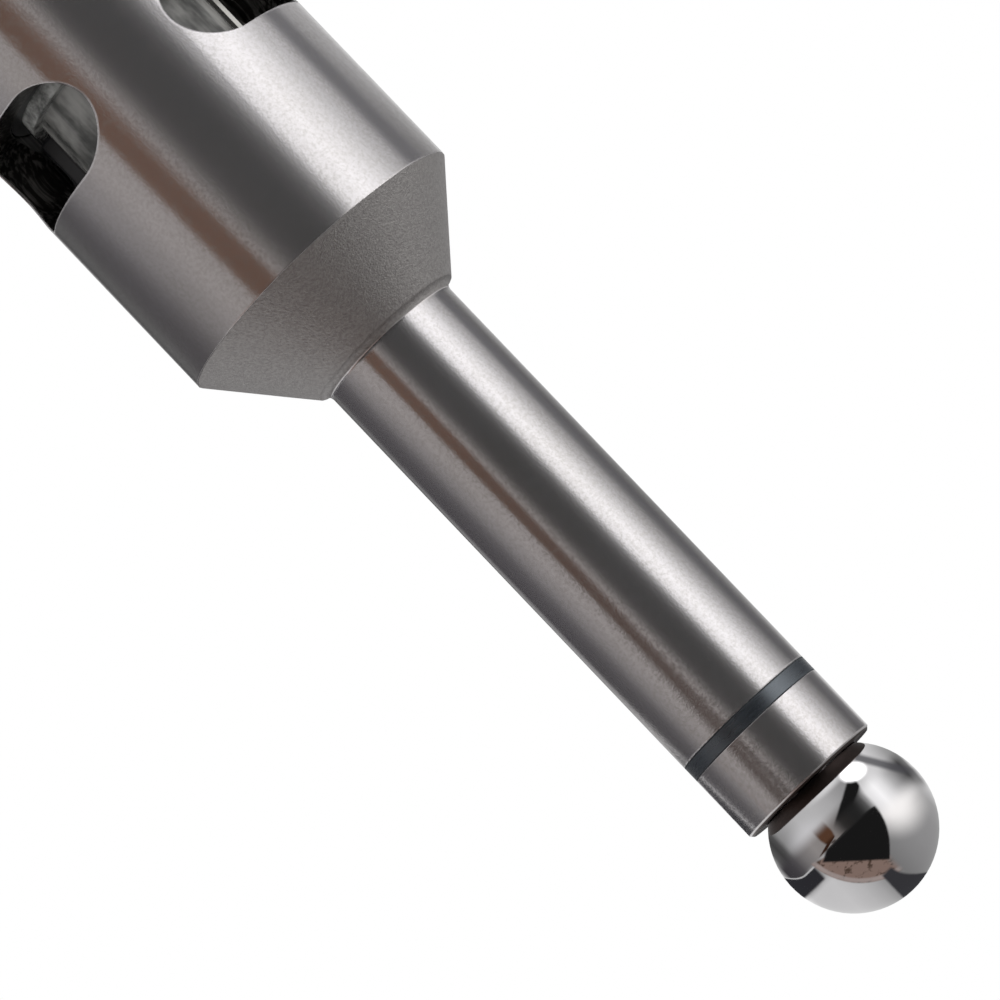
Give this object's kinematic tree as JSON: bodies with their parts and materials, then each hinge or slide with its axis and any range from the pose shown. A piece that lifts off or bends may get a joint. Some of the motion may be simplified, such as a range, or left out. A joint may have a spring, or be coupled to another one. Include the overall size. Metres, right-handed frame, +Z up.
{
  "type": "electronic edge finder",
  "caption": "Straight-shank electronic edge finder with a spring-seated contact ball, insulated collar, lit windows and a threaded battery cap.",
  "frame": {"origin": "on the axis at the gauge plane, 50 mm below the barrel's rear face, inside the plain shank that a collet clamps", "axes": "+Z up the axis from the ball to the battery cap; -Y points at the land between two windows that faces the viewer"},
  "size_m": [0.02, 0.02, 0.1601],
  "materials": {
    "barrel_steel": "ground satin, with the cone bead-blasted",
    "collar_steel": "ground satin",
    "ball_steel": "mirror polished hardened steel",
    "cap_steel": "turned satin, knurled rim",
    "bush_plastic": "dark slate engineering plastic",
    "black_plastic": "black moulded plastic",
    "frosted_plastic": "frosted translucent plastic",
    "brass": "turned brass",
    "fixing_steel": "bright zinc plated steel",
    "spring_steel": "spring wire",
    "contact_metal": "nickel plated spring metal",
    "board_laminate": "green solder mask",
    "resistor_ceramic": "dark chip with tinned ends",
    "lamp_lens": "tinted clear epoxy",
    "cell_jacket": "plain printed jacket, no lettering",
    "seal_rubber": "nitrile rubber"
  },
  "bodies": {
    "barrel": {"barrel": "barrel_steel", "insulating_bush": "bush_plastic", "seat_collar": "collar_steel", "tube_liner": "black_plastic", "anchor_rod": "brass", "rod_bush": "bush_plastic", "rod_washer": "fixing_steel", "rod_nut": "brass", "lamp_carrier": "black_plastic", "circuit_board": "board_laminate", "resistor": "resistor_ceramic", "lamp": "lamp_lens", "light_guide": "frosted_plastic", "battery_sleeve": "black_plastic", "front_contact": "contact_metal", "front_cell": "cell_jacket", "rear_cell": "cell_jacket", "battery_spring": "contact_metal"},
    "spring": {"return_spring": "spring_steel"},
    "plug": {"spring_plug": "brass"},
    "swivel": {"swivel_ring": "fixing_steel"},
    "ball": {"contact_ball": "ball_steel", "ball_stud": "fixing_steel"},
    "seal": {"cap_seal": "seal_rubber"},
    "cap": {"battery_cap": "cap_steel", "cap_contact": "brass"}
  },
  "joints": [
    {"name": "ball_pull", "type": "slide", "parent": "barrel", "child": "spring", "axis": [0, 0, -1], "range_m": [0, 0.006], "stiffness_N_per_m": 800, "springref_m": -0.005, "deforming": ["return_spring"]},
    {"name": "ball_ride", "type": "slide", "parent": "spring", "child": "plug", "axis": [0, 0, -1], "range_m": [0, 0.00202]},
    {"name": "lean_direction", "type": "hinge", "parent": "plug", "child": "swivel", "pos_m": [0, 0, -0.088], "axis": [0, 0, 1], "continuous": true},
    {"name": "ball_lean", "type": "hinge", "parent": "swivel", "child": "ball", "pos_m": [0, 0, -0.093], "axis": [0, -1, 0], "range_deg": [0, 20], "stiffness_Nm_per_rad": 0.05, "springref_deg": -22.92},
    {"name": "cap_lift", "type": "slide", "parent": "barrel", "child": "seal", "axis": [0, 0, 1], "range_m": [0, 0.009], "deforming": ["battery_spring"]},
    {"name": "cap_turn", "type": "hinge", "parent": "seal", "child": "cap", "pos_m": [0, 0, 0.05], "axis": [0, 0, 1], "range_deg": [0, 3240]}
  ],
  "couplings": [
    {"joint": "ball_lean", "follows": "ball_ride", "rad_per_m": 172.41},
    {"joint": "cap_turn", "follows": "cap_lift", "rad_per_m": 6283.2}
  ]
}
